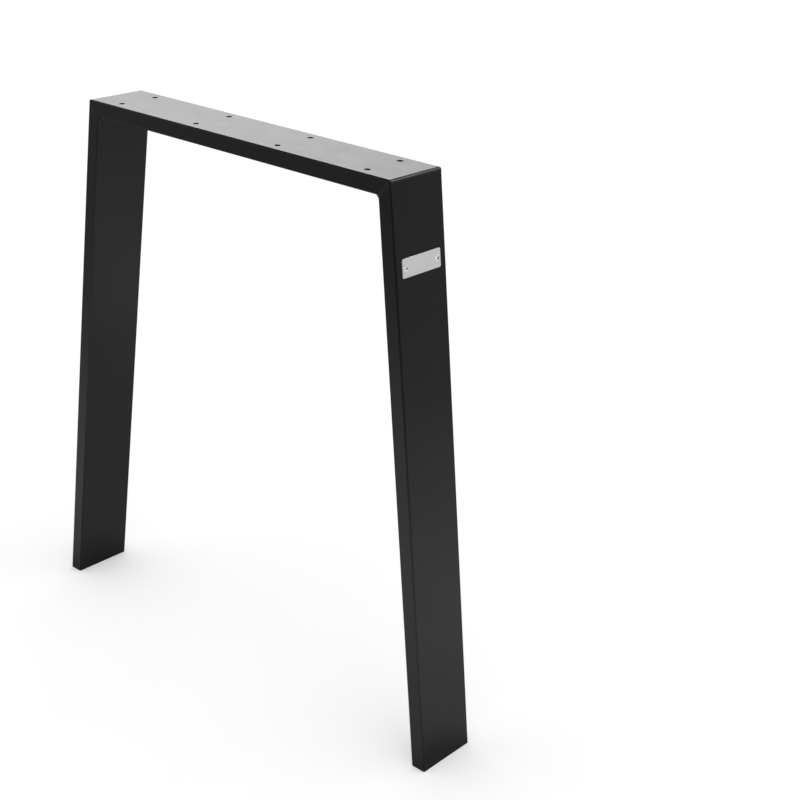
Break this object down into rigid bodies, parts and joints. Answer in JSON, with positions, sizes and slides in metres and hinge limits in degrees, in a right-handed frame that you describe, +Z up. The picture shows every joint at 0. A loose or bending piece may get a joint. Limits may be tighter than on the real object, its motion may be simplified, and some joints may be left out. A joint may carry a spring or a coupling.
{
  "type": "table leg frame",
  "caption": "Splayed table leg frame, an upside-down U mitred and welded from flat rectangular steel tube, with screw holes through its top rail.",
  "frame": {"origin": "on the floor, midway between the two feet", "axes": "+X along the top rail, +Y across the rail towards the back, +Z up"},
  "size_m": [0.6928, 0.0856, 0.72],
  "materials": {
    "coated_steel": "satin black powder coat on steel tube",
    "coated_weld": "ground weld under the same satin black powder coat",
    "badge": "brushed",
    "rivet": "satin",
    "mandrel": "snapped end, darkened"
  },
  "bodies": {
    "root": {"top_rail": "coated_steel", "leg_left": "coated_steel", "leg_right": "coated_steel", "corner_weld_left": "coated_weld", "corner_weld_right": "coated_weld", "foot_plate_left": "coated_steel", "foot_plate_right": "coated_steel", "badge_plate": "badge", "badge_rivet_front": "rivet", "badge_rivet_back": "rivet", "rivet_mandrel_front": "mandrel", "rivet_mandrel_back": "mandrel"}
  },
  "joints": []
}
